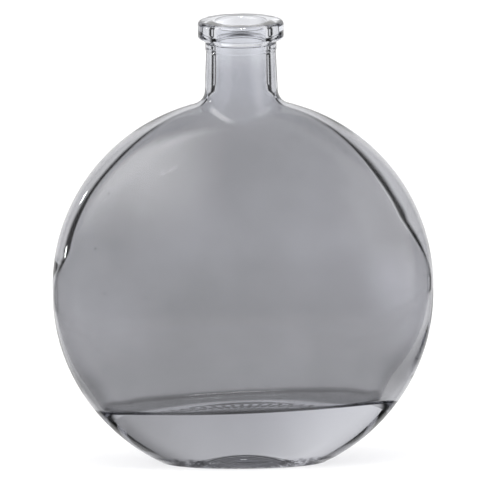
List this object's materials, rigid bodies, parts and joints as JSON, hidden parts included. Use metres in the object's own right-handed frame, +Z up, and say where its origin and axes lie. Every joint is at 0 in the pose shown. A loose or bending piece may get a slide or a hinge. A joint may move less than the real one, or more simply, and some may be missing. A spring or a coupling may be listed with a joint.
{
  "type": "bottle vase",
  "caption": "Flat round bottle vase in smoked grey glass, with a short neck, a thick collar lip and a heavy solid base, for holding cut stems in water.",
  "frame": {"origin": "middle of the base plane, on the axis of the neck", "axes": "+Z up along the neck's axis, +X along the width of the flat body, front face towards -Y"},
  "size_m": [0.213, 0.088, 0.2506],
  "materials": {
    "smoked_glass": "glossy clear glass, smoked neutral grey through its thickness"
  },
  "bodies": {
    "root": {"lip_ring": "smoked_glass", "neck": "smoked_glass", "front_shell": "smoked_glass", "back_shell": "smoked_glass", "base": "smoked_glass"}
  },
  "joints": []
}
